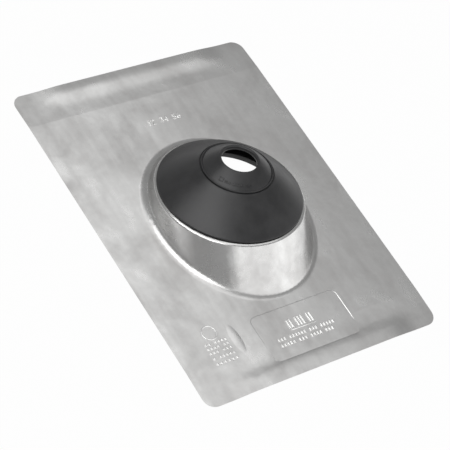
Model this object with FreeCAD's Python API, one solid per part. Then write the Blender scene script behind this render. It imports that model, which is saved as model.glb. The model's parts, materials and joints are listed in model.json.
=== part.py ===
import FreeCAD, Part
import math
import os

# Pipe flashing boot: a stamped sheet-steel base that lies on the roof, and a moulded
# elastomer collar, clipped to the base's neck, that seals round a vent pipe.
#
# Frame: millimetres. +X runs across the roof slope, +Y runs up it, +Z points away from
# the roof. The origin is the centre of the base, in the plane that it rests on.

os.makedirs("parts", exist_ok=True)
Vector = FreeCAD.Vector

# ---------------------------------------------------------------- driving dimensions
# Base plate
sheet = 0.5                # thickness of the galvanised sheet
plate_width = 234.95       # 9 1/4 inches, across the slope
plate_length = 317.5       # 12 1/2 inches, up the slope
plate_corner = 10.0        # radius of the plate's four corners

# Stamped ends: each end falls from a crease into a trough, then climbs to a crest.
# Beside the trough and crest it slopes down until its corners touch the roof.
field_lift = 1.2           # underside of the flat field above the roof
crease_inset = 33.0        # crease, in from the end edge
trough_inset = 20.0        # lowest line of the trough, in from the end edge
trough_drop = 0.5          # trough below the flat field
crest_inset = 9.0          # highest line of the crest, in from the end edge
crest_rise = 0.8           # crest above the flat field
edge_rise = 0.2            # end edge above the flat field, outside the crest
swell = 0.4                # share of each wave's run that its curve stays level
bead_side_inset = 20.0     # side edge of the plate to where trough and crest have died out
bead_fade = 30.0           # length over which they die out
fade_steps = 6             # straight strips that the fading is made of

# Hump: a skewed skirt that rises from the plate to a round, tilted neck
collar_tilt = 10.3         # degrees between the pipe's axis and the plate's normal
neck_centre_y = 4.1        # centre of the neck, up the slope from the plate's centre
neck_low_height = 8.4      # low, uphill side of the neck above the plate's top face
front_run = 31.6           # skirt's run from the neck's downhill side to the foot
back_run = 4.4             # the same on the uphill side
side_run = 5.0             # the same on the two sides
foot_fillet = 8.0          # top-side radius where the skirt meets the plate
shoulder_fillet = 3.0      # top-side radius where the skirt turns in to the lip
lip_width = 16.0           # inward lip, from the neck's corner to its opening

# Recessed panel between the hump and the downhill end
panel_depth = 0.6          # below the flat field, deeper than the trough that it crosses
panel_width = 88.0
panel_centre_x = 2.0
panel_foot_gap = 10.0      # hump's foot to the panel's uphill edge
panel_end_inset = 15.0     # plate's end edge to the panel's downhill edge
panel_corner = 6.0
panel_draft = 45.0         # degrees, slope of the panel's walls

# Collar
flange_radius = 61.1       # outer edge of the flange that lies on the lip
shoulder_reveal = 1.9      # neck's corner outside the flange's edge
flange_edge = 1.8          # height of the flange's outer edge
flange_round = 0.8         # radius on the flange's top edge
collar_wall = 2.2          # thickness of the dome
flange_web = 2.2           # thickness of the flange inside the dome
dome_height = 25.2         # seat to the top of the dome, at the trim ring
dome_bulge = 0.7           # how far the dome swells from a straight cone
ring_radius = 30.1         # trim ring, where the collar is cut for a larger pipe
ring_width = 1.3
ring_rise = 0.6            # trim ring above the dome's edge
ring_groove = 0.6          # width and depth of the groove outside the ring
cone_step = 0.3            # inner cone below the top of the ring
rim_height = 37.0          # seat to the top of the pipe hole's rim
pipe_hole_radius = 14.8
rim_round = 1.5            # radius on the hole's top edge
seal_height = 2.0          # straight wall of the hole, below its top radius
seal_taper = 15.0          # degrees, underside of the thicker rim, from the hole outward
clip_play = 0.2            # spare height and depth of the groove that grips the lip
clip_grip = 4.4            # how far the lower flange reaches under the lip
clip_flange = 2.0          # thickness of the lower flange
clip_round = 0.6           # radius on the lower flange's outer edges

# ---------------------------------------------------------------- derived sizes
plate_top = field_lift + sheet
tilt = math.radians(collar_tilt)
neck_radius = flange_radius + shoulder_reveal
lip_opening = neck_radius - lip_width
neck_centre_z = plate_top + neck_low_height + neck_radius * math.sin(tilt)
neck_centre = Vector(0, neck_centre_y, neck_centre_z)
pipe_axis = Vector(0, math.sin(tilt), math.cos(tilt))
on_neck = FreeCAD.Placement(neck_centre, FreeCAD.Rotation(Vector(1, 0, 0), -collar_tilt))

neck_front_y = neck_centre_y - neck_radius * math.cos(tilt)
neck_back_y = neck_centre_y + neck_radius * math.cos(tilt)
neck_front_height = neck_low_height + 2 * neck_radius * math.sin(tilt)
neck_side_height = neck_low_height + neck_radius * math.sin(tilt)
front_slope = math.atan2(neck_front_height, front_run)
back_slope = math.atan2(neck_low_height, back_run)
side_slope = math.atan2(neck_side_height, side_run)

below_all = 20.0           # depth of the waste under the skins that are cut from each other
overrun = 10.0             # how far cutting tools run past what they cut
margin = 1.0               # spare size where a tool or a search only has to reach past
tolerance = 1e-4           # two points nearer than this are one
loft_tolerance = 0.01      # how far a lofted corner may stray from its true circle
edge_samples = 9           # points tried along an edge when one is looked for


# ---------------------------------------------------------------- base
def end_line(side, bead, level, x):
    """Section of one stamped end at x, from its crease out to the end edge and beyond.

    side is -1 for the downhill end and 1 for the uphill end. bead is 1 where trough and
    crest are whole, and 0 where the end only slopes down to the roof.
    """
    end = plate_length / 2
    plain_slope = field_lift / crease_inset
    points = []
    for inset, full in (
        (crease_inset, 0),
        (trough_inset, -trough_drop),
        (crest_inset, crest_rise),
        (0, edge_rise),
    ):
        plain = -plain_slope * (crease_inset - inset)
        height = plain + bead * (full - plain)
        points.append(Vector(x, side * (end - inset), plate_top - level + height))
    level_off = Vector(0, side, -plain_slope * (1 - bead))
    waves = []
    for index, (start, stop) in enumerate(zip(points, points[1:])):
        hold = level_off * (swell * abs(stop.y - start.y))
        first = start + (stop - start) * swell if index == 0 else start + hold
        last = stop - (stop - start) * swell if index == 2 else stop - hold
        wave = Part.BezierCurve()
        wave.setPoles([start, first, last, stop])
        waves.append(wave.toShape())
    beyond = points[-1] + Vector(0, side * overrun, 0)
    return waves + [Part.makeLine(points[-1], beyond)]


def plate_section(x, bead, level):
    """Closed section of the block under one skin of the plate, in the plane of x."""
    crease_y = plate_length / 2 - crease_inset
    reach = plate_length / 2 + overrun
    downhill = end_line(-1, bead, level, x)
    uphill = end_line(1, bead, level, x)
    field = Part.makeLine(Vector(x, -crease_y, plate_top - level),
                          Vector(x, crease_y, plate_top - level))
    floor_downhill = Vector(x, -reach, -below_all)
    floor_uphill = Vector(x, reach, -below_all)
    outer_downhill = downhill[-1].valueAt(downhill[-1].LastParameter)
    outer_uphill = uphill[-1].valueAt(uphill[-1].LastParameter)
    waste = [
        Part.makeLine(outer_uphill, floor_uphill),
        Part.makeLine(floor_uphill, floor_downhill),
        Part.makeLine(floor_downhill, outer_downhill),
    ]
    return Part.Wire(downhill[::-1] + [field] + uphill + waste)


def plate_block(level):
    """Block under the plate's skin at a depth of level below its top face."""
    reach = plate_width / 2 + overrun
    dead = plate_width / 2 - bead_side_inset
    stations = [(reach, 0.0)]
    for step in range(fade_steps + 1):
        share = step / fade_steps
        stations.append((dead - share * bead_fade, 0.5 - 0.5 * math.cos(math.pi * share)))
    stations = [(-x, bead) for x, bead in stations] + stations[::-1]
    sections = [plate_section(x, bead, level) for x, bead in stations]
    return Part.makeLoft(sections, True, True)


def foot_wire(level):
    """Sharp foot of the skirt, an ellipse in the plane of the plate's skin."""
    front = neck_front_y - front_run + level * math.tan(front_slope / 2)
    back = neck_back_y + back_run - level * math.tan(back_slope / 2)
    half_width = neck_radius + side_run - level * math.tan(side_slope / 2)
    stretch = FreeCAD.Matrix()
    stretch.scale(Vector(half_width, (back - front) / 2, 1))
    ellipse = Part.makeCircle(1.0).transformGeometry(stretch)
    ellipse.translate(Vector(0, (front + back) / 2, plate_top - level))
    return Part.Wire(ellipse)


def neck_corner_radius(level):
    """Radius of the sharp corner between the skirt and the lip, on the skin at level."""
    return neck_radius - level * math.tan(side_slope / 2)


def hump_block(level):
    """Skirt, filled solid, under the skin at a depth of level."""
    corner = Part.makeCircle(neck_corner_radius(level), Vector(0, 0, -level))
    corner.Placement = on_neck
    return Part.makeLoft([foot_wire(level), Part.Wire(corner)], True, True)


def is_foot_edge(edge, level):
    """Whether an edge is part of the sharp line where the skirt meets the plate."""
    points = edge.discretize(edge_samples)
    front = neck_front_y - front_run - margin
    back = neck_back_y + back_run + margin
    half_width = neck_radius + side_run + margin
    return all(
        abs(p.z - (plate_top - level)) < tolerance
        and front < p.y < back
        and abs(p.x) < half_width
        for p in points
    )


def is_corner_edge(edge, level):
    """Whether an edge is part of the sharp circle where the skirt meets the lip."""
    centre = neck_centre - pipe_axis * level
    radius = neck_corner_radius(level)
    return all(
        abs((p - centre).dot(pipe_axis)) < tolerance
        and abs((p - centre).Length - radius) < loft_tolerance
        for p in edge.discretize(edge_samples)
    )


def panel_tool(level):
    """Cutter for the recessed panel, with drafted walls, for the skin at level."""
    slope = math.radians(panel_draft)
    grow = level * math.tan(slope / 2)
    front_foot = neck_front_y - front_run
    half_width = panel_width / 2
    low_y = -plate_length / 2 + panel_end_inset
    high_y = front_foot - panel_foot_gap
    floor_z = plate_top - panel_depth - level
    rims = []
    for height in (0.0, panel_depth + crest_rise + margin):
        spread = grow + (height - panel_depth) / math.tan(slope)
        corner = panel_corner + spread
        x0 = panel_centre_x - half_width - spread
        x1 = panel_centre_x + half_width + spread
        outline = rounded_rectangle(x0, x1, low_y - spread, high_y + spread, corner)
        outline.translate(Vector(0, 0, floor_z + height))
        rims.append(outline)
    return Part.makeLoft(rims, True, True)


def rounded_rectangle(x0, x1, y0, y1, radius):
    """Closed wire in the XY plane: four sides and four corner arcs."""
    edges = []
    corners = ((x1, y0, -90), (x1, y1, 0), (x0, y1, 90), (x0, y0, 180))
    centres = []
    for x, y, start in corners:
        centre = Vector(x - math.copysign(radius, x - (x0 + x1) / 2),
                        y - math.copysign(radius, y - (y0 + y1) / 2), 0)
        centres.append((centre, start))
    for index, (centre, start) in enumerate(centres):
        arc = Part.makeCircle(radius, centre, Vector(0, 0, 1), start, start + 90)
        edges.append(arc)
        following, next_start = centres[(index + 1) % 4]
        turn = math.radians(next_start)
        begin = following + Vector(math.cos(turn), math.sin(turn), 0) * radius
        finish = arc.valueAt(arc.LastParameter)
        edges.append(Part.makeLine(finish, begin))
    return Part.Wire(edges)


def skin_block(level):
    """Everything under the sheet's skin at a depth of level: 0 is its top face."""
    block = plate_block(level).fuse(hump_block(level)).removeSplitter()
    foot = [edge for edge in block.Edges if is_foot_edge(edge, level)]
    block = block.makeFillet(foot_fillet + level, foot)
    corner = [edge for edge in block.Edges if is_corner_edge(edge, level)]
    block = block.makeFillet(shoulder_fillet - level, corner)
    return block.cut(panel_tool(level))


def plate_outline():
    """Prism with the plate's rounded outline, taller than the hump."""
    half_width = plate_width / 2
    half_length = plate_length / 2
    outline = rounded_rectangle(-half_width, half_width, -half_length, half_length,
                                plate_corner)
    outline.translate(Vector(0, 0, -below_all - overrun))
    height = below_all + neck_front_height + 3 * overrun
    return Part.Face(outline).extrude(Vector(0, 0, height))


def make_base():
    """One sheet: its top skin less its bottom skin, trimmed and opened at the neck."""
    stamped = skin_block(0).cut(skin_block(sheet)).common(plate_outline())
    opening = Part.makeCylinder(lip_opening, 2 * overrun, Vector(0, 0, -overrun))
    opening.Placement = on_neck
    return stamped.cut(opening)


# ---------------------------------------------------------------- collar
def ring_edges(shape, radius, height):
    """Circular edges of a turned shape at one radius and height."""
    found = []
    for edge in shape.Edges:
        point = edge.valueAt(edge.FirstParameter)
        at_radius = abs(math.hypot(point.x, point.y) - radius) < tolerance
        if at_radius and abs(point.z - height) < tolerance:
            found.append(edge)
    return found


def bulged_arc(a, b, bulge):
    """Arc from a to b, swelling by bulge to the left of the way from a to b."""
    chord = (b - a).normalize()
    swell = Vector(-chord.z, 0, chord.x) * bulge
    return Part.Arc(a, (a + b) * 0.5 + swell, b).toShape()


def shifted(a, b, distance):
    """Both ends of a line, moved square to it by distance towards its left."""
    chord = (b - a).normalize()
    step = Vector(-chord.z, 0, chord.x) * distance
    return a + step, b + step


def make_collar():
    """Turned profile, x as radius and z above the seat, swung about the pipe's axis."""
    def at(radius, height):
        return Vector(radius, 0, height)

    lip_gap = sheet + clip_play
    groove_floor = lip_opening - clip_play
    clip_radius = lip_opening + clip_grip
    inner_radius = groove_floor - collar_wall
    ring_top = dome_height + ring_rise

    flange_under = at(flange_radius, 0)
    flange_top = at(flange_radius, flange_edge)
    dome_top = at(ring_radius + ring_groove, dome_height)
    groove_low = at(ring_radius, dome_height - ring_groove)
    ring_outer = at(ring_radius, ring_top)
    ring_inner = at(ring_radius - ring_width, ring_top + ring_rise)
    cone_foot = at(ring_radius - ring_width, ring_top + ring_rise - cone_step)
    rim = at(pipe_hole_radius, rim_height)
    cone_pitch = math.atan2(rim.z - cone_foot.z, cone_foot.x - rim.x)
    rim_corner = math.pi / 2 + cone_pitch
    seal_top = at(pipe_hole_radius, rim_height - rim_round * math.tan(rim_corner / 2))
    seal_foot = at(pipe_hole_radius, seal_top.z - seal_height)

    cone_low, cone_high = shifted(cone_foot, rim, collar_wall)
    dome_low, dome_high = shifted(flange_top, dome_top, collar_wall)
    cone_fall = math.tan(cone_pitch)
    seal_fall = math.tan(math.radians(seal_taper))
    drop = cone_high.z - seal_foot.z + cone_high.x * cone_fall - seal_foot.x * seal_fall
    under_rim_x = drop / (cone_fall - seal_fall)
    under_rim = at(under_rim_x, seal_foot.z - (under_rim_x - seal_foot.x) * seal_fall)
    under_ring = at(cone_low.x, cone_low.z - ring_groove)
    dome_pitch = (dome_high.z - dome_low.z) / (dome_low.x - dome_high.x)
    dome_inner_foot = at(dome_low.x - (flange_web - dome_low.z) / dome_pitch, flange_web)
    web_inner = at(inner_radius, flange_web)
    clip_inner = at(inner_radius, -lip_gap - clip_flange)

    edges = [
        Part.makeLine(flange_under, flange_top),
        bulged_arc(flange_top, dome_top, -dome_bulge),
        Part.makeLine(dome_top, groove_low),
        Part.makeLine(groove_low, ring_outer),
        Part.makeLine(ring_outer, ring_inner),
        Part.makeLine(ring_inner, cone_foot),
        Part.makeLine(cone_foot, rim),
        Part.makeLine(rim, seal_foot),
        Part.makeLine(seal_foot, under_rim),
        Part.makeLine(under_rim, under_ring),
        bulged_arc(under_ring, dome_inner_foot, dome_bulge),
        Part.makeLine(dome_inner_foot, web_inner),
        Part.makeLine(web_inner, clip_inner),
        Part.makeLine(clip_inner, at(clip_radius, clip_inner.z)),
        Part.makeLine(at(clip_radius, clip_inner.z), at(clip_radius, -lip_gap)),
        Part.makeLine(at(clip_radius, -lip_gap), at(groove_floor, -lip_gap)),
        Part.makeLine(at(groove_floor, -lip_gap), at(groove_floor, 0)),
        Part.makeLine(at(groove_floor, 0), flange_under),
    ]
    turned = Part.Face(Part.Wire(edges)).revolve(Vector(), Vector(0, 0, 1), 360)
    rounds = (
        (rim_round, rim),
        (flange_round, flange_top),
        (clip_round, at(clip_radius, clip_inner.z)),
    )
    for radius, corner in rounds:
        turned = turned.makeFillet(radius, ring_edges(turned, corner.x, corner.z))
    turned.Placement = on_neck
    bore_middle = on_neck.multVec(Vector(0, 0, (seal_top.z + seal_foot.z) / 2))
    print("pipe hole's wall, middle at", [round(value, 4) for value in bore_middle],
          "along", [round(value, 6) for value in pipe_axis])
    return turned


for name, make in (("base", make_base), ("collar", make_collar)):
    piece = make()
    solid = piece.Solids[0] if len(piece.Solids) == 1 else piece
    print(name, len(piece.Solids), "solid", round(piece.Volume / 1000, 2),
          "cm3", "valid" if piece.isValid() else "INVALID")
    solid.exportStep("parts/" + name + ".step")
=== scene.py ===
# %% [markdown]
# # A pipe flashing boot
#
# A vent pipe leaves a house through a hole in its roof, and this part keeps the rain out
# of that hole. It has two pieces. A sheet of galvanised steel lies on the roof, under the
# shingles above it and over those below it, and is stamped up into a skewed hump. A domed
# collar of black elastomer is clipped on the hump's neck and grips the pipe.
#
# This lesson dresses the measured model of that part: it gives every surface the form,
# the small marks and the finish that the real one has. It starts by loading the model,
# in metres, with +X across the roof slope, +Y up it and +Z away from the roof.

import json
import math

import bpy
from mathutils import Matrix, Quaternion, Vector

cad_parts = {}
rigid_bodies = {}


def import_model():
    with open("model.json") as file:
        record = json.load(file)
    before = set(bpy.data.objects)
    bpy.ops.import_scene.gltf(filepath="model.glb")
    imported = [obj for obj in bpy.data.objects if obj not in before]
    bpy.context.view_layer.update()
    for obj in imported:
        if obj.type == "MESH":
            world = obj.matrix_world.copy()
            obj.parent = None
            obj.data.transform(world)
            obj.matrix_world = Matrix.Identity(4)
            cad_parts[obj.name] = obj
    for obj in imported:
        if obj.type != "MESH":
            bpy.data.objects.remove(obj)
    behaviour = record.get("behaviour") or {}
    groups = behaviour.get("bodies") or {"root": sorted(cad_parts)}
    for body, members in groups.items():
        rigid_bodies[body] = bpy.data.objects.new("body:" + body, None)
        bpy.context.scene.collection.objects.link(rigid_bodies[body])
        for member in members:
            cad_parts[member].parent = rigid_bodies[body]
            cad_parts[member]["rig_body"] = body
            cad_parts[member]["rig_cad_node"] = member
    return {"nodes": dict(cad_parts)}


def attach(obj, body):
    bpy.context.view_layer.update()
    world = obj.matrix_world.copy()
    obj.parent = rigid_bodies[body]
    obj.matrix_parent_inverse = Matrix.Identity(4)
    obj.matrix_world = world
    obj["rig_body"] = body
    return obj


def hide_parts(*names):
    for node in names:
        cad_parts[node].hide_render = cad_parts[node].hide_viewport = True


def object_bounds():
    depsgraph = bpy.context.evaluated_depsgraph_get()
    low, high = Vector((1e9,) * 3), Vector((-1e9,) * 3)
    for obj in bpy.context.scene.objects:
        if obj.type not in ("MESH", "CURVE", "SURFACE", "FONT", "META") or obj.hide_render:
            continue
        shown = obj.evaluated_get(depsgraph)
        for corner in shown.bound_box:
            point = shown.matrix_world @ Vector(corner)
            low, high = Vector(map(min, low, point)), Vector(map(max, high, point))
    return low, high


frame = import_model()
cad_low, cad_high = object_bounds()
mm = 0.001
print("model, mm:", [round(side / mm, 1) for side in cad_high - cad_low])

# %% [markdown]
# ## Small helpers
#
# An edit-mode operator acts on all that is selected, so each step starts with nothing
# selected, and then picks faces, edges or points in code, by where they are.

# %% Select nothing, then work on one object
def deselect_all():
    if bpy.context.object and bpy.context.object.mode != "OBJECT":
        bpy.ops.object.mode_set(mode="OBJECT")
    bpy.ops.object.select_all(action="DESELECT")


def work_on(piece):
    deselect_all()
    piece.select_set(True)
    bpy.context.view_layer.objects.active = piece


def edit(piece, select="DESELECT"):
    work_on(piece)
    bpy.ops.object.mode_set(mode="EDIT")
    bpy.ops.mesh.select_mode(type="VERT")
    bpy.ops.mesh.select_all(action=select)


deselect_all()

# %% [markdown]
# A finished piece has its place in its mesh, so that a pattern measured from the
# object's own origin stays where it is. Then it is told which body carries it and which
# finish it wears.

# %% Finish a piece
smooth_below = math.radians(24)


def finish_piece(piece, name, material, smooth=True):
    work_on(piece)
    bpy.ops.object.transform_apply(location=True, rotation=True, scale=True)
    if smooth:
        bpy.ops.object.shade_smooth_by_angle(angle=smooth_below)
    piece.name = name
    piece.data.materials.clear()
    piece.data.materials.append(material)
    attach(piece, "root")
    triangles = sum(len(face.vertices) - 2 for face in piece.data.polygons)
    print(name, "has", triangles, "triangles")


# %% [markdown]
# ## Materials
#
# Colours are written as sRGB hex values, the way a paint chart gives them, and one
# function turns them to the linear values that light adds up in. Another adds a node
# with its settings and its links.

# %% Colour and node helpers
def linear_channel(value):
    """One sRGB channel, from 0 to 1, as its linear value, by the standard's own curve."""
    return value / 12.92 if value <= 0.04045 else ((value + 0.055) / 1.055) ** 2.4


def linear(hex_colour):
    channels = [int(hex_colour[place:place + 2], 16) / 255 for place in (1, 3, 5)]
    return [linear_channel(channel) for channel in channels] + [1.0]


def add_node(tree, kind, settings=None, inputs=None):
    """A node of that kind. An input is a value, or another node's output to link."""
    node = tree.nodes.new(kind)
    for name, value in (settings or {}).items():
        setattr(node, name, value)
    for name, value in (inputs or {}).items():
        if isinstance(value, bpy.types.NodeSocket):
            tree.links.new(value, node.inputs[name])
        else:
            node.inputs[name].default_value = value
    return node


def new_material(name):
    material = bpy.data.materials.new(name)
    material.use_nodes = True
    material.node_tree.nodes.clear()
    return material, material.node_tree


def ramp_between(tree, factor, low_at, high_at, low_colour, high_colour):
    ramp = add_node(tree, "ShaderNodeValToRGB", inputs={"Fac": factor})
    low, high = ramp.color_ramp.elements
    low.position, high.position = low_at, high_at
    low.color, high.color = low_colour, high_colour
    return ramp.outputs["Color"]


def grey(value):
    return [value, value, value, 1.0]


# %% [markdown]
# ### Galvanised steel sheet
#
# The base is cold-rolled steel that ran through a bath of molten zinc and then between
# smooth rolls. The rolls leave a satin skin with no large crystals: the eye sees a soft,
# cloudy mottle some 20 to 50 mm across, a finer one of about 5 mm, and faint streaks
# along the way the sheet was rolled. Where the sheet was drawn over the tool it is a
# little smoother. The pressed marks get a lighter copy of the zinc, which is a painted
# highlight for the light that their raised edges catch. Zinc is a metal, so the base
# colour is what it reflects, and the clouds are changes of that colour and of roughness
# together.
#
# A picture of a sheet could be laid on it. Noise is used in its place: it needs no file,
# and as it is read from the object's own coordinates, it runs without a seam over the
# plate and the hump.

# %% Galvanised steel sheet
cloud_size = 48 * mm
mottle_size = 5 * mm
streak_width = 9 * mm
along_the_roll = (1.0, 0.12, 1.0)
noise_range = (0.36, 0.64)
wave_depth = 1.2 * mm
drawn_from = 3.0 * mm
drawn_fully = 7.0 * mm
drawn_roughness = 0.85


def galvanised_sheet(name, dull, bright, duller, glossier):
    """The zinc's two tones, and the roughness that goes with each."""
    material, tree = new_material(name)
    place = add_node(tree, "ShaderNodeTexCoord").outputs["Object"]

    def noise(size, detail, stretch=(1, 1, 1), distortion=0.0):
        """Noise whose lumps are about that size, in metres."""
        mapping = add_node(tree, "ShaderNodeMapping", inputs={
            "Vector": place, "Scale": stretch,
        })
        made = add_node(tree, "ShaderNodeTexNoise", inputs={
            "Vector": mapping.outputs["Vector"],
            "Scale": 1 / size,
            "Detail": detail,
            "Roughness": 0.55,
            "Distortion": distortion,
        })
        return made.outputs["Fac"]

    def mixed(first, second, share):
        """The first value, with that share of it given to the second."""
        node = add_node(tree, "ShaderNodeMath", {"operation": "MULTIPLY_ADD"})
        tree.links.new(second, node.inputs[0])
        node.inputs[1].default_value = share
        keep = add_node(tree, "ShaderNodeMath", {"operation": "MULTIPLY"})
        tree.links.new(first, keep.inputs[0])
        keep.inputs[1].default_value = 1 - share
        tree.links.new(keep.outputs[0], node.inputs[2])
        return node.outputs[0]

    clouds = noise(cloud_size, 3.0, distortion=0.5)
    mottle = noise(mottle_size, 2.0, distortion=0.3)
    streaks = noise(streak_width, 2.0, stretch=along_the_roll)
    patches = mixed(mixed(clouds, mottle, 0.16), streaks, 0.22)
    zinc = ramp_between(tree, patches, *noise_range, linear(dull), linear(bright))
    gloss = ramp_between(tree, patches, *noise_range, grey(duller), grey(glossier))
    relief = mixed(clouds, mottle, 0.12)
    waves = add_node(tree, "ShaderNodeBump", inputs={
        "Strength": 0.25, "Distance": wave_depth, "Height": relief,
    })
    height = add_node(tree, "ShaderNodeSeparateXYZ", inputs={"Vector": place}).outputs["Z"]
    drawn = add_node(tree, "ShaderNodeMapRange", inputs={
        "Value": height,
        "From Min": drawn_from,
        "From Max": drawn_fully,
        "To Min": 1.0,
        "To Max": drawn_roughness,
    })
    roughness = add_node(tree, "ShaderNodeMath", {"operation": "MULTIPLY"})
    tree.links.new(gloss, roughness.inputs[0])
    tree.links.new(drawn.outputs["Result"], roughness.inputs[1])
    surface = add_node(tree, "ShaderNodeBsdfPrincipled", inputs={
        "Base Color": zinc,
        "Metallic": 1.0,
        "Roughness": roughness.outputs[0],
        "Normal": waves.outputs["Normal"],
    })
    add_node(tree, "ShaderNodeOutputMaterial", inputs={"Surface": surface.outputs["BSDF"]})
    return material


steel = galvanised_sheet(
    "hot_dip_galvanised_steel_skin_passed", "#c0bfbe", "#dfdfde", duller=0.36, glossier=0.26,
)
# A lighter copy of the zinc for the pressed marks: a painted highlight for the light that their
# raised edges catch.
painted_highlight_steel = galvanised_sheet(
    "galvanised_steel_painted_highlight", "#f0f0ef", "#fafaf9", duller=0.30, glossier=0.22,
)
print("made", steel.name, "and", painted_highlight_steel.name)

# %% [markdown]
# ### Moulded elastomer
#
# The collar is made of a black thermoplastic rubber in a steel mould. The mould's fine
# spark-eroded grain leaves it satin, and handling leaves faint paler smears, so it is a
# very dark grey rather than black. The grain is drawn 0.7 mm wide, several times as
# coarse as the real one, so that it shows at all. It is a bump in the material, because
# it is far too fine to model.

# %% Moulded elastomer
smear_size = 14 * mm
smear_range = (0.35, 0.7)
grain_size = 0.7 * mm
grain_depth = 0.08 * mm


def moulded_elastomer():
    material, tree = new_material("injection_moulded_thermoplastic_rubber")
    place = add_node(tree, "ShaderNodeTexCoord").outputs["Object"]
    smears = add_node(tree, "ShaderNodeTexNoise", inputs={
        "Vector": place, "Scale": 1 / smear_size, "Detail": 3.0, "Roughness": 0.6,
    })
    grain = add_node(tree, "ShaderNodeTexNoise", inputs={
        "Vector": place, "Scale": 1 / grain_size, "Detail": 2.0, "Roughness": 0.6,
    })
    smear = smears.outputs["Fac"]
    rubber = ramp_between(tree, smear, *smear_range, linear("#222223"), linear("#2c2c2d"))
    gloss = ramp_between(tree, smear, *smear_range, grey(0.36), grey(0.44))
    relief = add_node(tree, "ShaderNodeBump", inputs={
        "Strength": 0.2, "Distance": grain_depth, "Height": grain.outputs["Fac"],
    })
    surface = add_node(tree, "ShaderNodeBsdfPrincipled", inputs={
        "Base Color": rubber,
        "Roughness": gloss,
        "IOR": 1.5,
        "Specular IOR Level": 0.5,
        "Normal": relief.outputs["Normal"],
    })
    add_node(tree, "ShaderNodeOutputMaterial", inputs={"Surface": surface.outputs["BSDF"]})
    return material


elastomer = moulded_elastomer()
print("made", elastomer.name)

# %% [markdown]
# ## The base
#
# The real sheet is half a millimetre of steel, stamped in one stroke. It could be drawn
# anew on a grid and sculpted, but the measured sheet has the right form already: thin,
# with its hump, its recessed panel and its waved ends. Its mesh is loose triangles,
# though, which shade as facets. So a copy is made and its doubled points are merged.

# %% Copy the sheet and merge its points
weld_distance = 0.001 * mm
work_on(frame["nodes"]["base"])
bpy.ops.object.duplicate()
sheet = bpy.context.object
sheet.parent = None
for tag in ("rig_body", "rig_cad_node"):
    del sheet[tag]
bpy.ops.mesh.customdata_custom_splitnormals_clear()
edit(sheet, "SELECT")
bpy.ops.mesh.remove_doubles(threshold=weld_distance)
bpy.ops.mesh.normals_make_consistent(inside=False)
deselect_all()

# %% [markdown]
# The recessed panel was pressed only lightly: its walls are soft ramps, and its floor is
# nearly level with the field. The model's floor is lifted a little to ease its walls.

# %% Ease the panel's walls
panel_x = (-43 * mm, 47 * mm)
panel_y = (-145 * mm, -99 * mm)
panel_skins = (0.6 * mm, 1.1 * mm)
panel_lift = 0.3 * mm
same_height = 0.005 * mm


def on_panel_floor(place):
    inside = panel_x[0] < place.x < panel_x[1] and panel_y[0] < place.y < panel_y[1]
    return inside and any(abs(place.z - skin) < same_height for skin in panel_skins)


edit(sheet)
bpy.ops.object.mode_set(mode="OBJECT")
for vertex in sheet.data.vertices:
    vertex.select = on_panel_floor(vertex.co)
bpy.ops.object.mode_set(mode="EDIT")
bpy.ops.transform.translate(value=(0, 0, panel_lift))
deselect_all()
print("points of the panel's floor:", sum(vertex.select for vertex in sheet.data.vertices))

# %% [markdown]
# The press leaves two kinds of crease: hard ones at the sheet's edges and the panel's
# walls, found by their angle, and a faint one across each end, where the flat field
# starts to fall towards the edge. That one bends by only two degrees, so it is found by
# its place. Marked as sharp, an edge keeps its two sides' shading apart.
#
# Where a flat field runs into a fillet, a plain average of the face normals would tilt
# the flat's edge and show as a smudge. So the normals are weighed by the area of the
# faces: the broad flat faces keep theirs, and the narrow ones of the fillet bend.

# %% Mark the creases, then weigh the normals
work_on(sheet)
bpy.ops.object.shade_smooth()
edit(sheet)
bpy.ops.mesh.select_mode(type="EDGE")
bpy.ops.mesh.edges_select_sharp(sharpness=smooth_below)
bpy.ops.mesh.mark_sharp()
bpy.ops.mesh.select_all(action="DESELECT")
bpy.ops.object.mode_set(mode="OBJECT")
crease_inset = 33.0 * mm
crease_y = cad_high.y - crease_inset
same_line = 0.01 * mm
points = sheet.data.vertices
for edge in sheet.data.edges:
    ends = [abs(points[end].co.y) for end in edge.vertices]
    edge.select = all(abs(end - crease_y) < same_line for end in ends)
print("edges on the two creases:", sum(edge.select for edge in sheet.data.edges))
bpy.ops.object.mode_set(mode="EDIT")
bpy.ops.mesh.mark_sharp()
work_on(sheet)
weigh = sheet.modifiers.new("weigh_normals", "WEIGHTED_NORMAL")
weigh.mode = "FACE_AREA"
weigh.weight = 100
weigh.keep_sharp = True
bpy.ops.object.modifier_apply(modifier=weigh.name)
finish_piece(sheet, "base_sheet", steel, smooth=False)
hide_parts("base")

# %% [markdown]
# ## The collar
#
# The collar is a body of revolution about the pipe's axis, which leans from the plate's
# normal. In its mould it is one piece: a flange that lies on the neck, a dome, a trim
# ring where it can be cut for a larger pipe, a steeper cone, and the rim that grips the
# pipe. Under the flange a groove clips over the edge of the steel. The model has all of
# these, but few of its corners are rounded. It is turned anew here, so that they have
# the small radii that a mould gives, because those catch the light.
#
# Its size is measured from the model: distances along and from the axis give each
# point's height and radius. The flange's radius is used below, and the rounded rim's
# height is printed beside it.

# %% Measure the collar
tilt = math.radians(10.3)
pipe_axis = Vector((0, math.sin(tilt), math.cos(tilt)))
seat = Vector((0, 4.1, 21.365)) * mm
flange_radius = 0.0
rim_height = 0.0
cad_collar = frame["nodes"]["collar"]
for vertex in cad_collar.data.vertices:
    from_seat = cad_collar.matrix_world @ vertex.co - seat
    height = from_seat.dot(pipe_axis)
    flange_radius = max(flange_radius, (from_seat - pipe_axis * height).length)
    rim_height = max(rim_height, height)
print("flange radius", round(flange_radius / mm, 2), "rim height", round(rim_height / mm, 2), "mm")

# %% [markdown]
# Its profile is a list of corners, each a radius and a height above the seat with the
# radius that rounds it off. A long side that swells gets a few more corners between.

# %% Helpers for a profile
def corner(radius, height, rounding=0.0):
    return Vector((radius, height)), rounding


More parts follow.
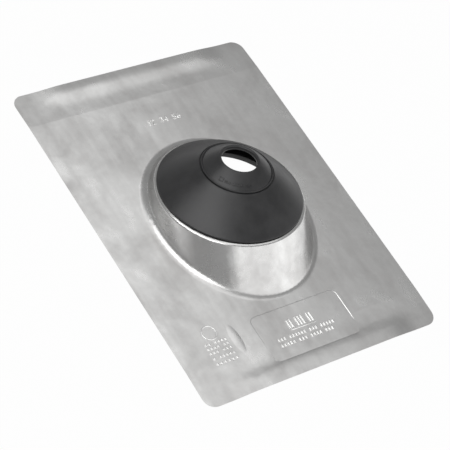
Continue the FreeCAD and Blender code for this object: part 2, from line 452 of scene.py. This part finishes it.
def swelling(a, b, bulge, steps):
    """Corners between a and b, on a shallow arc that swells to the left of the way."""
    along = b - a
    side = Vector((-along.y, along.x)).normalized()
    shares = [step / steps for step in range(1, steps)]
    return [(a + along * t + side * bulge * 4 * t * (1 - t), 0.0) for t in shares]


def beside(a, b, distance):
    """Both ends of a line, moved square to it, to its left."""
    along = (b - a).normalized()
    step = Vector((-along.y, along.x)) * distance
    return a + step, b + step


def rounded_off(corners, steps=5):
    """The profile's points, with an arc in the place of each rounded corner."""
    points = []
    count = len(corners)
    for index, (point, rounding) in enumerate(corners):
        if rounding == 0.0:
            points.append(point)
            continue
        back = (corners[index - 1][0] - point).normalized()
        ahead = (corners[(index + 1) % count][0] - point).normalized()
        half = back.angle(ahead) / 2
        centre = point + (back + ahead).normalized() * (rounding / math.sin(half))
        first = point + back * (rounding / math.tan(half)) - centre
        last = point + ahead * (rounding / math.tan(half)) - centre
        turn = last.angle_signed(first)
        for step in range(steps + 1):
            swing = turn * step / steps
            points.append(centre + Vector((
                first.x * math.cos(swing) - first.y * math.sin(swing),
                first.x * math.sin(swing) + first.y * math.cos(swing),
            )))
    return points


# %% [markdown]
# The outside runs from the flange's foot over the dome, down a narrow groove, over the
# rounded bead of the trim ring and up the cone to the rim.

# %% Draw the outside of the profile
wall = 2.2 * mm
flange_foot = Vector((flange_radius, 0.0))
flange_top = Vector((flange_radius, 1.8 * mm))
ring_radius = 30.1 * mm
ring_width = 1.3 * mm
groove = 0.6 * mm
dome_top = Vector((ring_radius + groove, 25.2 * mm))
cone_foot = Vector((ring_radius - ring_width, 26.1 * mm))
rim = Vector((14.8 * mm, 37.0 * mm))
groove_edge = dome_top.x + 0.3 * mm
groove_floor = dome_top.y - groove - 0.3 * mm

outside = [
    corner(flange_foot.x - 1.6 * mm, flange_foot.y, 0.1 * mm),
    corner(flange_foot.x, flange_foot.y + 0.7 * mm, 0.2 * mm),
    corner(flange_top.x, flange_top.y, 0.7 * mm),
    *swelling(flange_top, dome_top, -0.7 * mm, 14),
    corner(groove_edge, dome_top.y, 0.2 * mm),
    corner(dome_top.x, groove_floor, 0.15 * mm),
    corner(ring_radius - 0.1 * mm, groove_floor, 0.1 * mm),
    corner(ring_radius - 0.2 * mm, dome_top.y + 1.1 * mm, 0.4 * mm),
    corner(ring_radius - ring_width + 0.1 * mm, dome_top.y + 1.3 * mm, 0.4 * mm),
    corner(cone_foot.x, cone_foot.y - 0.4 * mm, 0.2 * mm),
    corner(cone_foot.x - 0.9 * mm, cone_foot.y + 0.6 * mm, 0.2 * mm),
    corner(rim.x, rim.y, 1.5 * mm),
]
print("outside of the profile:", len(outside), "corners")

# %% [markdown]
# The inside starts at the foot of the short straight wall that seals on the pipe. It
# runs down under the cone, with three small ribs that stiffen it, and under the dome to
# the groove that clips over the steel. On the way it keeps about the wall's thickness.

# %% Draw the inside of the profile
seal_top = rim.y - 3.07 * mm
seal_length = 2.0 * mm
seal_foot = Vector((rim.x, seal_top - seal_length))
flare_out = 4.46 * mm
flare_down = 6.26 * mm
lip_edge = 46.8 * mm
clip_reach = 51.4 * mm
under_cone_low, under_cone_high = beside(cone_foot, rim, wall)
up_the_cone = (under_cone_high - under_cone_low).normalized()
off_the_cone = Vector((-up_the_cone.y, up_the_cone.x))
rib_pitch = 2.6 * mm
rib_height = 0.5 * mm
rib_foot = 0.6 * mm
ribs = []
for index in (3, 2, 1):
    middle = under_cone_low + up_the_cone * rib_pitch * index
    ribs += [
        (middle + up_the_cone * rib_foot, 0.0),
        (middle + up_the_cone * rib_foot / 2 + off_the_cone * rib_height, 0.0),
        (middle - up_the_cone * rib_foot / 2 + off_the_cone * rib_height, 0.0),
        (middle - up_the_cone * rib_foot, 0.0),
    ]
under_ring = under_cone_low - Vector((0, groove))
web_top = Vector((57.0 * mm, wall))
lip_gap = 0.7 * mm
clip_thickness = 2.0 * mm
clip_under = -lip_gap - clip_thickness

inside = [
    corner(seal_foot.x, seal_foot.y, 0.2 * mm),
    corner(rim.x + flare_out, rim.y - flare_down, 0.5 * mm),
    *ribs,
    corner(under_ring.x, under_ring.y, 0.4 * mm),
    *swelling(under_ring, web_top, 0.7 * mm, 10),
    corner(web_top.x, web_top.y, 1.0 * mm),
    corner(lip_edge - wall, web_top.y, 0.6 * mm),
    corner(lip_edge - wall, clip_under, 0.4 * mm),
    corner(clip_reach, clip_under, 0.6 * mm),
    corner(clip_reach, -lip_gap, 0.3 * mm),
    corner(lip_edge, -lip_gap, 0.2 * mm),
    corner(lip_edge, 0.0, 0.2 * mm),
]
profile = rounded_off(outside + inside)
top = max(point.y for point in profile)
print("whole profile:", len(profile), "points, top", round(top / mm, 2), "mm above the seat")

# %% [markdown]
# A circle of points starts at the profile's first point. It is extruded from point to
# point, growing or shrinking on the way, and joins its own start at the end, where its
# doubled points are merged. Spinning the profile would give the same form, with a seam
# up its side. Then the ring of rubber is leant over and set on its seat.

# %% Turn the collar
around = 192
bpy.ops.mesh.primitive_circle_add(vertices=around, radius=profile[0].x, location=(0, 0, 0))
collar = bpy.context.object
edit(collar, "SELECT")
bpy.ops.transform.translate(value=(0, 0, profile[0].y))
for before, point in zip(profile, profile[1:] + profile[:1]):
    bpy.ops.mesh.extrude_edges_move()
    growth = point.x / before.x
    bpy.ops.transform.resize(value=(growth, growth, 1), center_override=(0, 0, 0))
    bpy.ops.transform.translate(value=(0, 0, point.y - before.y))
bpy.ops.mesh.select_all(action="SELECT")
bpy.ops.mesh.remove_doubles(threshold=weld_distance)
bpy.ops.mesh.normals_make_consistent(inside=False)
deselect_all()
on_seat = Matrix.Translation(seat) @ Matrix.Rotation(-tilt, 4, "X")
collar.matrix_world = on_seat
finish_piece(collar, "moulded_collar", elastomer)
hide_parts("collar")

# %% [markdown]
# The cone carries small raised marks from the mould. Here they are plain ticks, in three
# groups along an arc on the downhill side, with a small pad where the arc starts. A bump
# in the material would be quicker, but has no height of its own, so they are modelled:
# one tick is a cube, scaled and bevelled, and its copies turn about the pipe's axis.

# %% Moulded ticks on the cone
tick_height = 0.9 * mm
cone_pitch = math.atan2(rim.y - cone_foot.y, cone_foot.x - rim.x)


def bevelled_bar(size, rounding, segments):
    """A bar of that size about the origin, with all its edges rounded."""
    bpy.ops.mesh.primitive_cube_add(size=1, location=(0, 0, 0))
    bar = bpy.context.object
    bar.scale = size
    bpy.ops.object.transform_apply(scale=True)
    edit(bar, "SELECT")
    bpy.ops.mesh.select_mode(type="EDGE")
    bpy.ops.mesh.select_all(action="SELECT")
    bpy.ops.mesh.bevel(offset=rounding, segments=segments)
    work_on(bar)
    return bar


def moulded_tick(width, length, out_at):
    """A low raised bar on the cone, pointing up it, on the +X side of the axis."""
    tick = bevelled_bar((length, width, tick_height), 0.2 * mm, 2)
    share = (cone_foot.x - out_at) / (cone_foot.x - rim.x)
    on_cone = cone_foot + (rim - cone_foot) * share
    place = Matrix.Translation((on_cone.x, 0, on_cone.y))
    tick.matrix_world = place @ Matrix.Rotation(cone_pitch, 4, "Y")
    bpy.ops.object.transform_apply(location=True, rotation=True)
    return tick


def copied_around(tick, turn):
    copy = tick.copy()
    copy.data = tick.data.copy()
    bpy.context.scene.collection.objects.link(copy)
    copy.matrix_world = on_seat @ Matrix.Rotation(turn, 4, "Z")
    return copy


def joined(parts):
    deselect_all()
    for part in parts:
        part.select_set(True)
    bpy.context.view_layer.objects.active = parts[0]
    bpy.ops.object.join()
    return bpy.context.object


# %% Turn the ticks about the pipe's axis
arc_radius = 25.2 * mm
pad_turn = math.radians(-158)
first_turn = math.radians(-150)
tick_spacing = math.radians(3.2)
group_spacing = math.radians(2.4)
tick = moulded_tick(0.8 * mm, 2.2 * mm, arc_radius)
pad = moulded_tick(3.6 * mm, 3.4 * mm, arc_radius)
tick_turns = []
angle = first_turn
for group in (4, 6, 5):
    for _ in range(group):
        tick_turns.append(angle)
        angle += tick_spacing
    angle += group_spacing
marks = [copied_around(pad, pad_turn)]
marks += [copied_around(tick, turn) for turn in tick_turns]
finish_piece(joined(marks), "collar_moulded_ticks", elastomer)
for spare in (tick, pad):
    bpy.data.objects.remove(spare)

# %% [markdown]
# ## The marks on the sheet
#
# The steel carries shallow marks, pressed up from below by the same tool: plain numerals
# uphill of the neck, a block at the left of the panel, and lines in the panel. They say
# nothing here: numerals, a ring, and bars in groups. They could be cut into the sheet's
# mesh, which would spoil its even shading. Each is a low form of its own in place of
# that, sunk a little into the steel, whose height is found by looking straight down at
# the sheet.

# %% Helpers for pressed marks
sheet.data.update()
bpy.context.view_layer.update()
relief_height = 0.7 * mm
sunk = 0.2 * mm
soft_edge = 0.42 * mm


def steel_height(x, y):
    above = Vector((x, y, cad_high.z + 10 * mm))
    hit, place, _, _ = sheet.ray_cast(above, Vector((0, 0, -1)))
    assert hit
    return place.z


def pressed_bar(x, y, width, length):
    """A low bar with soft edges, its middle at x and y."""
    bar = bevelled_bar((width, length, relief_height + sunk), soft_edge, 3)
    bar.location = (x, y, steel_height(x, y) + (relief_height - sunk) / 2)
    bpy.ops.object.transform_apply(location=True)
    return bar


bar_share = 0.5
wider_gap = 0.9


def bar_row(x_start, x_end, y, tall, groups):
    """Upright bars between two places, in groups with wider gaps between them."""
    gaps = sum(groups) - 1 + (len(groups) - 1) * wider_gap
    pitch = (x_end - x_start) / gaps
    bars = []
    x = x_start
    for group in groups:
        for _ in range(group):
            bars.append(pressed_bar(x, y, bar_share * pitch, tall))
            x += pitch
        x += wider_gap * pitch
    return bars


# %% [markdown]
# Uphill of the neck stand six plain numerals in pairs. A text object draws them and is
# then made a mesh, which keeps their curves true. Its bevel swells the strokes, so a
# small negative offset thins them first. A capital is about seven tenths of the size
# that a text object is given.

# %% Numerals uphill of the neck
numeral_height = 5.7 * mm
cap_share = 0.7
stroke_offset = -0.22 * mm
numeral_bevel = 0.35 * mm
numerals_y = 98.8 * mm
bpy.ops.object.text_add(location=(0, 0, 0))
numerals = bpy.context.object
numerals.data.body = "12 34 56"
numerals.data.align_x = "CENTER"
numerals.data.align_y = "CENTER"
numerals.data.size = numeral_height / cap_share
numerals.data.space_word = 2.0
numerals.data.offset = stroke_offset
numerals.data.extrude = (relief_height + sunk) / 2 - numeral_bevel
numerals.data.bevel_depth = numeral_bevel
numerals.data.bevel_resolution = 2
bpy.ops.object.convert(target="MESH")
numerals = bpy.context.object
numerals.location = (0, numerals_y, steel_height(0, numerals_y) + (relief_height - sunk) / 2)
finish_piece(numerals, "pressed_numerals", painted_highlight_steel)

# %% [markdown]
# At the left of the panel lies a ring over five short rows of bars. The ring is a torus,
# sunk into the sheet, so that only its low crown shows.

# %% Ring and rows at the left of the panel
ring_middle = Vector((-80.0 * mm, -99.5 * mm))
bpy.ops.mesh.primitive_torus_add(
    major_radius=6.2 * mm, minor_radius=0.55 * mm, major_segments=64, minor_segments=12,
)
ring = bpy.context.object
ring.location = (ring_middle.x, ring_middle.y, steel_height(*ring_middle) - sunk)
bpy.ops.object.transform_apply(location=True)
left_rows = {-109: (2, 4), -113: (4, 2), -117: (3, 3), -122: (1, 5), -127: (6,)}
left_block = [ring]
for row, groups in left_rows.items():
    left_block += bar_row(-89.0 * mm, -70.0 * mm, row * mm, 2.2 * mm, groups)
finish_piece(joined(left_block), "pressed_ring_and_rows", painted_highlight_steel)

# %% [markdown]
# Between that block and the panel the sheet swells into a low, long stripe. The top of a
# sphere is cut off, and scaled wide and flat, because such a cap meets the sheet at a
# gentle angle all round, where a rounded bar would show a hard foot.

# %% Stripe beside the panel
stripe_middle = Vector((-61.5 * mm, -112.0 * mm))
stripe_half_width = 4.5 * mm
stripe_half_length = 14.0 * mm
stripe_height = 0.25 * mm
stripe_sunk = 0.01 * mm
cap_from = 0.9
cap_radius = math.sqrt(1 - cap_from ** 2)
bpy.ops.mesh.primitive_uv_sphere_add(
    segments=48, ring_count=24, radius=1.0, location=(0, 0, 0),
)
stripe = bpy.context.object
edit(stripe, "SELECT")
bpy.ops.mesh.bisect(
    plane_co=(0, 0, cap_from), plane_no=(0, 0, 1), clear_inner=True, use_fill=True,
)
deselect_all()
stripe_rise = stripe_height / (1 - cap_from)
stripe.scale = (stripe_half_width / cap_radius, stripe_half_length / cap_radius, stripe_rise)
stripe_foot = steel_height(*stripe_middle) - stripe_sunk
stripe.location = (stripe_middle.x, stripe_middle.y, stripe_foot - cap_from * stripe_rise)
finish_piece(stripe, "pressed_stripe", steel)

# %% [markdown]
# The panel holds seven tall bars over an underline, and two rows of short bars under it.
# They stand on the panel's floor, whose height is found as before.

# %% Lines in the panel
tall_bars = bar_row(-11.6 * mm, 11.6 * mm, -115.6 * mm, 8.6 * mm, (2, 3, 2))
underline = pressed_bar(0.0, -121.4 * mm, 25.0 * mm, 0.9 * mm)
upper_row = bar_row(-28.0 * mm, 27.0 * mm, -126.2 * mm, 3.2 * mm, (3, 6, 3, 5))
lower_row = bar_row(-28.0 * mm, 23.0 * mm, -131.4 * mm, 3.2 * mm, (5, 3, 4, 3))
panel_lines = joined(tall_bars + [underline] + upper_row + lower_row)
finish_piece(panel_lines, "pressed_panel_lines", painted_highlight_steel)

# %% [markdown]
# ## Stage and light
#
# A plain floor stands for the white paper of a studio. The camera sees it almost white,
# and so does the metal that mirrors it. The light that it sends back at the part is that
# of a mid grey, so the part isn't lit from below. The paper is a single plane: a curved
# backdrop would do as well, but the camera looks down and never sees its edge.

# %% Floor
floor_size = 8.0
seen_as_paper = 0.98


def paper_floor():
    material, tree = new_material("white_paper_backdrop")
    path = add_node(tree, "ShaderNodeLightPath")
    sight = path.outputs["Is Camera Ray"]
    for ray in ("Is Glossy Ray", "Is Transmission Ray"):
        either = add_node(tree, "ShaderNodeMath", {"operation": "MAXIMUM"})
        tree.links.new(sight, either.inputs[0])
        tree.links.new(path.outputs[ray], either.inputs[1])
        sight = either.outputs[0]
    seen = add_node(tree, "ShaderNodeMath", {"operation": "MULTIPLY"})
    tree.links.new(sight, seen.inputs[0])
    seen.inputs[1].default_value = seen_as_paper
    matt = add_node(tree, "ShaderNodeBsdfDiffuse", inputs={"Color": linear("#a8a8a8")})
    lit = add_node(tree, "ShaderNodeEmission", inputs={
        "Color": grey(1.0), "Strength": 1.0,
    })
    both = add_node(tree, "ShaderNodeMixShader", inputs={"Fac": seen.outputs[0]})
    tree.links.new(matt.outputs[0], both.inputs[1])
    tree.links.new(lit.outputs[0], both.inputs[2])
    add_node(tree, "ShaderNodeOutputMaterial", inputs={"Surface": both.outputs[0]})
    return material


deselect_all()
bpy.ops.mesh.primitive_plane_add(size=floor_size, location=(0, 0, cad_low.z))
floor = bpy.context.object
floor.name = "paper_floor"
floor.data.materials.append(paper_floor())

# %% [markdown]
# The light is a studio's: an even grey room and three softboxes. One stands high on the
# left and gives the hump's foot its bright line. A large one hangs near the ceiling, a
# little uphill and to the right, and lights the flat plate from one side to the other. A
# long one lies low in front, and is what the drawn wall of the hump mirrors. A softbox's
# power is worked out from how bright its face should look, so it keeps that look at any
# size. Lamps are used and not a picture of a studio, because each can be moved until the
# metal mirrors it in the right place.

# %% Room and softboxes
world = bpy.data.worlds.new("studio_room")
bpy.context.scene.world = world
world.use_nodes = True
world.node_tree.nodes.clear()
room_light = 0.32
room = add_node(world.node_tree, "ShaderNodeBackground", inputs={
    "Color": grey(1.0), "Strength": room_light,
})
add_node(world.node_tree, "ShaderNodeOutputWorld", inputs={"Surface": room.outputs[0]})


def softbox(name, direction, distance, width, height, brightness, roll=0.0):
    """A rectangular lamp that faces the object, with that brightness of its face."""
    toward = Vector(direction).normalized()
    bpy.ops.object.light_add(type="AREA", location=toward * distance)
    lamp = bpy.context.object
    lamp.name = name
    lamp.data.shape = "RECTANGLE"
    lamp.data.size = width
    lamp.data.size_y = height
    lamp.data.energy = brightness * math.pi * width * height
    lamp.rotation_mode = "QUATERNION"
    lamp.rotation_quaternion = toward.to_track_quat("Z", "Y") @ Quaternion((0, 0, 1), roll)


softbox(
    "left_softbox", (-0.57, 0.0, 0.80), distance=1.5,
    width=1.7, height=0.9, brightness=2.7,
)
softbox(
    "ceiling_softbox", (0.16, 0.20, 0.95), distance=1.6,
    width=1.6, height=1.6, brightness=0.80, roll=math.radians(45),
)
softbox(
    "front_softbox", (0.45, -0.83, 0.39), distance=1.8,
    width=4.0, height=1.25, brightness=0.95, roll=math.radians(-15),
)

# %% [markdown]
# ## Camera
#
# The camera looks down from the left and in front, and is rolled so that the plate lies
# aslant in the frame. A long lens from a metre and a half keeps the plate's sides nearly
# parallel.

# %% Camera
aim = Vector((-0.0088, -0.0139, 0.0017))
distance = 1.5329
azimuth = math.radians(-54.717)
elevation = math.radians(47.680)
roll = math.radians(28.350)
focal_length = 150.86
film_width = 36.0
back = Vector((
    math.sin(azimuth) * math.cos(elevation),
    -math.cos(azimuth) * math.cos(elevation),
    math.sin(elevation),
))
bpy.ops.object.camera_add(location=aim + back * distance)
camera = bpy.context.object
camera.name = "studio_camera"
camera.rotation_mode = "QUATERNION"
camera.rotation_quaternion = (-back).to_track_quat("-Z", "Y") @ Quaternion((0, 0, 1), roll)
camera.data.lens = focal_length
camera.data.sensor_width = film_width
bpy.context.scene.camera = camera
bpy.context.scene.view_settings.view_transform = "Standard"
